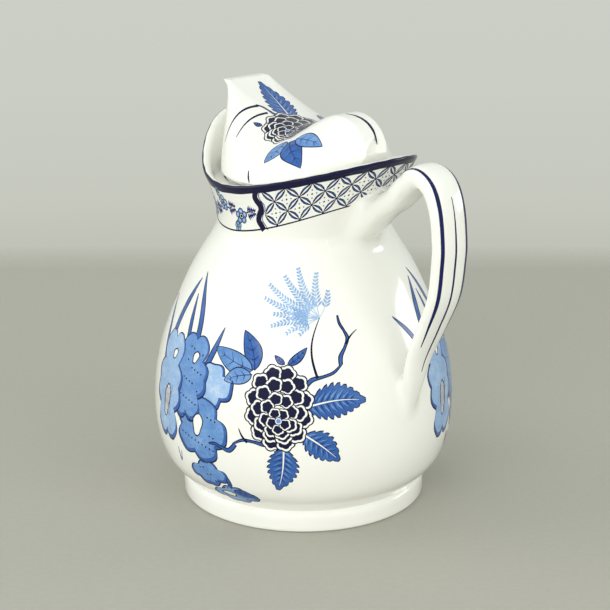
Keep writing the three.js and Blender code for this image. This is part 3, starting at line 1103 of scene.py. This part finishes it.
def flower_spray():
    """The main flower with its leaves, branch and fern, about the middle of the flower."""
    fronds = (
        (78, 10, -1),
        (97, 17, 1),
        (115, 21, 1.5),
        (131, 21, 1),
        (147, 23, 1.5),
        (161, 22, 1),
        (176, 17, 0),
        (192, 18, -1),
        (208, 13, -1),
        (224, 9, -1),
    )
    layers = fern((13.4, 34.4), [(math.radians(turn), length, bow) for turn, length, bow in fronds])
    layers += branch((9, 8), (23, 17), 2.1, bends=2, sway=1.5)
    layers += branch((22.5, 16.5), (20, 35), 1.9, bends=3, sway=1.1, bow=-2.4)
    layers += twig((24, 24), (28, 29), 1.0, 0.5)
    layers += twig((14, 12), (13.4, 34.4), 1.0, 2.6)
    layers += branch((-1, -11), (-18, -15), 2.1, bends=2, sway=1.8)
    layers += branch((-17, -15), (-29, -17), 2.3, bends=2, sway=1.6, bow=1.5)
    layers += twig((-12, -13.6), (-15.5, -8.5), 1.1, 0.5)
    layers += leaf((10.5, 1.5), (33, 2.6), 13.5, teeth=9, bow=1.5)
    layers += leaf((9.5, -9), (23, -20), 11, teeth=7, bow=0.6)
    layers += leaf((2, -14.5), (-0.6, -33), 12, teeth=8, bow=0.8)
    layers += leaf((-9.6, 14), (-14.5, 28.6), 7.6, ink=MIDDLE, bow=-1.2)
    layers += leaf((-10.4, 14), (-27, 20.4), 8.6, ink=WASH, bow=0.8)
    layers += leaf((-10.6, 12.4), (-22.4, 8.6), 6.6, ink=WASH, bow=-0.6)
    layers += leaf((2.6, 16.6), (9.6, 23.6), 3.6, ink=MIDDLE, bow=-0.5)
    layers += leaf((1.6, 17), (-2.4, 20.4), 2.6, ink=MIDDLE, bow=0.2)
    layers += peony((0, 0.5), 1.02, 1.03)
    return layers


def rock_and_blades():
    """A pierced rock with tall blades behind it, about the middle of the rock."""
    layers = []
    for base, middle, tip, width in (
        ((1, 9), (0, 30), (-7, 49), 3.0),
        ((0, 7), (-5, 24), (-7.6, 40), 2.6),
        ((4, 6), (9.5, 17), (12.6, 31), 2.9),
        ((-18, 12), (-15, 30), (-9, 46), 3.2),
        ((-20, 10), (-24, 24), (-30, 34), 2.6),
    ):
        layers += lined([base, middle, tip], (0.9, width, width * 0.9, 0.35))
    layers += clouded(lobed((13, 8), 18, 16, 8), PALE, 0.3)
    layers += clouded(lobed((9, -10), 24, 24, 10), WASH)
    layers += clouded(lobed((1, 9), 17, 34, 12), WASH)
    layers += clouded(lobed((-13, 2), 17, 44, 12), PALE + 0.03)
    layers += holed((2.6, 17), 2.6, 4.2) + holed((-11, 15), 2.4, 3.6) + holed((8, -8), 4.4, 8.6, 0.1)
    layers += holed((-13, -4), 4, 13, 0.15)
    for k in range(5):
        blade = [(-15 + k, -10), (-14.4 + k, -3), (-12.8 + k, 3)]
        layers.append(stroke(blade, (0.15, 0.35, 0.15), COBALT, 3))
    spots = []
    for k in range(64):
        x, y = -3 + 20 * ((k * 0.618) % 1), -19 + 40 * ((k * 0.382 + k / 64) % 1)
        in_hole = abs(x - 8) < 3.4 and abs(y + 8) < 5.4 or abs(x - 2.6) < 2.2 and abs(y - 17) < 3
        in_upper = math.hypot((x - 1) / 7, (y - 9) / 14) < 1
        in_lower = math.hypot((x - 9) / 10, (y + 10) / 10) < 1
        if (in_upper or in_lower) and not in_hole:
            spots.append((x, y))
    layers += dots(spots)
    layers += [stroke([(-5, -21), (-4.4, -27), (-3, -22)], (0.3, 0.6, 0.2), COBALT, 3)]
    return layers


def mound():
    """A small pierced mound with two leaves, low on the belly."""
    layers = clouded(lobed((-6, 5), 17, 10, 8), WASH)
    layers += clouded(lobed((4, -4), 18, 9, 8), WASH)
    layers += holed((1.5, -3.6), 5, 2.6, -0.6)
    layers += dots([(-10 + 1.7 * k, 7 - 1.2 * k + 1.6 * (k % 2)) for k in range(10)])
    layers += leaf((4, -1), (13.5, -3.6), 4.4, ink=MIDDLE, bow=0.4)
    layers += leaf((3.6, 0), (3, 6), 2.2, ink=MIDDLE, bow=0.1)
    return layers


def on_belly(direction, run):
    """A flat chart on the belly: a runs round it and b up its wall, from a direction and a run."""

    def chart(a, b):
        r = np.interp(run + b, belly_run, belly[:, 0])
        z = np.interp(run + b, belly_run, belly[:, 1])
        angle = math.radians(direction) + a / r
        return np.stack([r * np.cos(angle), r * np.sin(angle), z], -1)

    return chart


repeats = [
    (on_belly(first + turn, run), design)
    for first, run, design in (
        (-52, 49, pieced(flower_spray())),
        (-93, 46, pieced(rock_and_blades())),
        (-76, 13, pieced(mound())),
    )
    for turn in (0, 128, 247)
]
printed("body_print", repeats, "jug", print_ink)


# ---- Border print on the collar
# A band under the rim: a trellis over the handle side, small flowers round the spout side and a wavy bar
# between them, with a broad cobalt line painted along the lip.
BAND_DEEP = 16.6
BAR_TURN = math.radians(70)
SLIM_PETAL = [(0, 0), (0.3, 0.25), (0.5, 0.42), (0.7, 0.25), (1, 0), (0.75, 1.0), (0.5, 1.35), (0.25, 1.0)]
SLIM_WASH = [(0.24, 0.5), (0.5, 0.72), (0.76, 0.5), (0.7, 0.82), (0.5, 1.05), (0.3, 0.82)]

rim_turns = np.linspace(-math.pi, math.pi, 721)
rim_r = rim_radius(rim_turns)
rim_places = np.stack([rim_r * np.cos(rim_turns), rim_r * np.sin(rim_turns), rim_top(rim_turns)], -1)
rim_run = np.concatenate([[0], np.cumsum(np.linalg.norm(np.diff(rim_places, axis=0), axis=1))])
rim_run -= np.interp(0, rim_turns, rim_run)
rim_half = rim_run[-1]


def on_collar(a, b):
    """A chart on the collar: a runs round the rim from the handle, b is the way up to the lip and over it."""
    angle = np.interp((a + rim_half) % (2 * rim_half) - rim_half, rim_run, rim_turns)
    top = rim_top(angle)
    levels = np.linspace(0, 1, 28)[:, None]
    heights = lerp(top - LIP - 22, top - LIP, levels)
    radii = skin_radius(angle, NECK_Z + heights)
    lengths = np.hypot(np.diff(radii, axis=0), np.diff(heights, axis=0))
    down = np.concatenate([np.cumsum(lengths[::-1], axis=0)[::-1], np.zeros((1, len(angle)))])
    share = np.array([np.interp(max(0, -d), column[::-1], levels[::-1, 0]) for d, column in zip(b, down.T)])
    over = np.clip(b, 0, None) / LIP
    height = lerp(top - LIP - 22, top - LIP, share) + LIP * np.sin(over)
    radius = skin_radius(angle, NECK_Z + height) - LIP + LIP * np.cos(over)
    return np.stack([radius * np.cos(angle), radius * np.sin(angle), NECK_Z + height], -1)


def bar_places(hand):
    side = hand * float(np.interp(BAR_TURN, rim_turns, rim_run))
    return [(side + hand * 1.1 * math.sin(k * 1.35), -1 - k * BAND_DEEP / 8) for k in range(9)]


def trellis():
    """Crossing pairs of slim petals, with dots in the cells."""
    end = float(np.interp(BAR_TURN, rim_turns, rim_run)) - 2.4
    cells = round(2 * end / 10.4)
    cell = 2 * end / cells
    rows = 3
    rise = (BAND_DEEP - 1.4) / rows
    layers = []
    node = lambda i, k: (-end + (i + (k % 2) / 2) * cell, -1.3 - k * rise)
    for k in range(rows):
        for i in range(cells + 1):
            for lean in (-0.5, 0.5):
                x, y = node(i, k)
                there = (x + lean * cell, y - rise)
                if min(x, there[0]) < -end - 0.1 or max(x, there[0]) > end + 0.1:
                    continue
                length = math.dist((x, y), there)
                for hand in (1, -1):
                    for half, tone in ((SLIM_PETAL, NAVY), (SLIM_WASH, MIDDLE)):
                        outline = [(along, hand * out) for along, out in half]
                        layers.append((turned_to(outline, (x, y), there), tone))
    for k in range(rows + 1):
        for i in range(cells + 1):
            x, y = node(i, k)
            if abs(x) < end - 0.6:
                tips, dips = disc(x, y, 1.05, 16), disc(x, y, 0.4, 16)
                star = [tips[j] if j % 2 else dips[j] for j in range(16)]
                layers.append((star, COBALT))
            for shift in (-0.5, 0.5):
                centre = (x + shift * cell, y)
                if abs(centre[0]) < end - 1 and 0 < k < rows:
                    layers += dots([centre], 0.42)
                    layers += dots([(centre[0], centre[1] + 1.9), (centre[0], centre[1] - 1.9)], 0.3)
                    layers += dots([(centre[0] + 1.9, centre[1]), (centre[0] - 1.9, centre[1])], 0.3)
    return layers


def small_flower(x, y, size):
    layers = []
    for k in range(5):
        turn = k / 5 * 2 * math.pi + 0.3
        centre = (x + 0.95 * size * math.cos(turn), y + 0.95 * size * math.sin(turn))
        for radius, tone in ((0.72, NAVY), (0.54, WASH), (0.3, PALE)):
            layers.append((disc(*centre, radius * size, 10), tone))
    for radius, tone in ((0.7, NAVY), (0.44, BARE), (0.3, NAVY)):
        layers.append((disc(x, y, radius * size, 12), tone))
    return layers


def garland():
    """Small flowers on a leafy stem, all round the spout side."""
    start = float(np.interp(BAR_TURN, rim_turns, rim_run)) + 3.2
    length = 2 * (rim_half - start)
    count = round(length / 11.5)
    layers = []
    for k in range(count):
        x = start + (k + 0.5) * length / count
        y = -8.8 + 2.2 * (-1) ** k
        stem = [(x - 6, y + 3 * (-1) ** k), (x - 2, y), (x + 3, y - 1.6 * (-1) ** k), (x + 5.6, y + 1)]
        layers.append(stroke(stem, (0.4, 0.6, 0.3), NAVY, 3))
        for j in range(5):
            root = (x + 2.4 + j * 0.85, y - 1.2 * (-1) ** k)
            for hand in (1, -1):
                tip = (root[0] + 1.1, root[1] + hand * (3.2 - 0.45 * j))
                layers.append((turned_to([(0, 0), (0.5, 0.5), (1, 0), (0.5, -0.5)], root, tip), COBALT))
        layers += small_flower(x - 1.6, y, 2.1)
        layers += small_flower(x - 4.4, y + 4.2 * (-1) ** k, 1.25)
    return layers


def band_of(low, high, ink, strips=1, wave=0.0):
    """A line right round the collar, in strips narrow enough to bend over the lip."""
    steps = 240
    levels = [lerp(low, high, k / strips) for k in range(strips + 1)]
    layers = []
    for k in range(strips):
        lift = wave if k == strips - 1 else 0
        drop = wave if k == 0 else 0
        turns = [(lerp(-rim_half, rim_half, i / steps), i) for i in range(steps + 1)]
        upper = [(x, levels[k + 1] + lift * math.sin(i * 0.9)) for x, i in turns]
        lower = [(x, levels[k] + drop * math.sin(i * 0.55 + 1)) for x, i in turns]
        layers.append((upper + lower[::-1], ink))
    return layers


collar_layers = trellis() + garland()
for hand in (1, -1):
    wavy = bar_places(hand)
    collar_layers.append(stroke([(x - hand * 1.9, y) for x, y in wavy], (0.35, 0.35), COBALT, 3))
    collar_layers.append(stroke(wavy, (2.4, 2.8, 2.4), NAVY, 3))
collar_layers += band_of(-BAND_DEEP - 0.7, -BAND_DEEP - 0.1, NAVY)
collar_layers += band_of(-1.7, 2.0, NAVY, strips=9, wave=0.1)
printed("collar_print", [(on_collar, pieced(collar_layers))], "jug", print_ink)


# ---- Painted lines on the handle
# Two cobalt lines near the strap's edges and a finer one down its middle, painted by hand on the fired clay
# before it is glazed.
def on_handle(a, b):
    """A chart on the strap's back: a runs down its middle line in millimetres, b is the way across."""
    wide = np.interp(a, strap_run, strap[:, 3]) * STRAP_W / 2
    side = np.arcsin(np.clip(np.abs(b) / wide, 0, 0.97) ** 1.25) * np.sign(b)
    return strap_skin(a, side)


def run_at(height, after):
    """The run along the strap, past another run, at which its middle line comes down to a height."""
    past = strap_run > after
    return float(strap_run[past][np.argmax(strap[past, 1] < height)])


HAND_INK = 0.9
crown = float(strap_run[np.argmax(strap[:, 1])])
edge_start, edge_end = crown - 9, run_at(78, crown)
spine_start, spine_end = crown + 12, run_at(66, crown)
handle_layers = []
for aside, start_run, end_run, width in (
    (-6.3, edge_start, edge_end, 1.5),
    (6.3, edge_start, edge_end, 1.5),
    (0, spine_start, spine_end, 0.95),
):
    steps = [lerp(start_run, end_run, i / 30) for i in range(31)]
    reach = lambda run: float(np.interp(run, strap_run, strap[:, 3]))
    course = [(run, aside * reach(run)) for run in steps]
    handle_layers.append(stroke(course, (0.3, width, width, width, 0.3), HAND_INK, 1))
printed("handle_lines", [(on_handle, pieced(handle_layers))], "jug", print_ink)


# ---- Print on the lid
# A smaller flower lies over the saddle with leaves and twigs, in the same cobalt under the same glaze, and a
# painted line runs down the rear strap.


def on_lid(a, b):
    """A chart on the lid: a is the place along its crest, b the way down either flank from it."""
    ends = 0.96 * LID_R
    share = (a - HORN_X) / (TONGUE_X - HORN_X)
    base_x = np.clip(lerp(-ends, ends, share), -0.999 * LID_R, 0.999 * LID_R)
    hand = np.where(b < 0, -1, 1)
    base_y = np.sqrt(LID_R**2 - base_x**2) * hand
    rises = np.linspace(np.pi / 2, 0, 60)
    flank = np.array([dome_place(base_x, base_y, rise, 0, LID_Z) for rise in rises])
    crest = flank[0] * (1, 0, 1)
    line = np.concatenate([crest[None], flank])
    lengths = np.linalg.norm(np.diff(line, axis=0), axis=-1)
    down = np.concatenate([np.zeros((1, len(a))), np.cumsum(lengths, axis=0)])
    made = np.empty((len(a), 3))
    for i, reach in enumerate(np.abs(b)):
        for axis in range(3):
            made[i, axis] = np.interp(reach, down[:, i], line[:, i, axis])
    return made


lid_layers = leaf((-4, -2), (-29, 3), 11, teeth=9, bow=-1.2)
lid_layers += branch((-8, -4), (-18, -9), 1.4, bends=2, sway=0.9)
lid_layers += twig((-17, -8.5), (-21, -31), 1.1, -1.6)
lid_layers += twig((-12, -8), (-14, -26), 1.1, -1.2)
# A short dark stroke low on the near flank is painted shade: it stands for the shadowed foot of a crease in
# the lid, which the lid's shape leaves out.
lid_layers += [stroke([(3.4, -35), (5, -37.5), (6.4, -39.4)], (0.4, 0.9, 0.5), NAVY)]
lid_layers += leaf((-8, -15), (-12, -16.5), 2.2, ink=MIDDLE, bow=0.3)
lid_layers += leaf((10.5, -19), (9, -31), 8, ink=WASH, bow=0.8)
lid_layers += leaf((13, -20), (26, -31), 8.5, ink=MIDDLE, bow=-0.8)
lid_layers += leaf((15.5, -19), (29, -19.5), 7, ink=WASH, bow=-0.6)
lid_layers += peony((2, -7), 0.95, 0.84)
lid_layers += leaf((-2, 12), (-8, 23), 7, teeth=6, bow=0.6)
lid_layers += leaf((5, 13), (14, 21), 6.5, ink=WASH, bow=0.6)
rear_line = [(24, -1), (28, 0.3), (32, 1.2), (36, 1.4), (39, 0.8)]
lid_layers += [stroke(rear_line, (0.3, 1.2, 1.3, 1.2, 0.3), NAVY)]
printed("lid_print", [(on_lid, pieced(lid_layers))], "lid", print_ink)
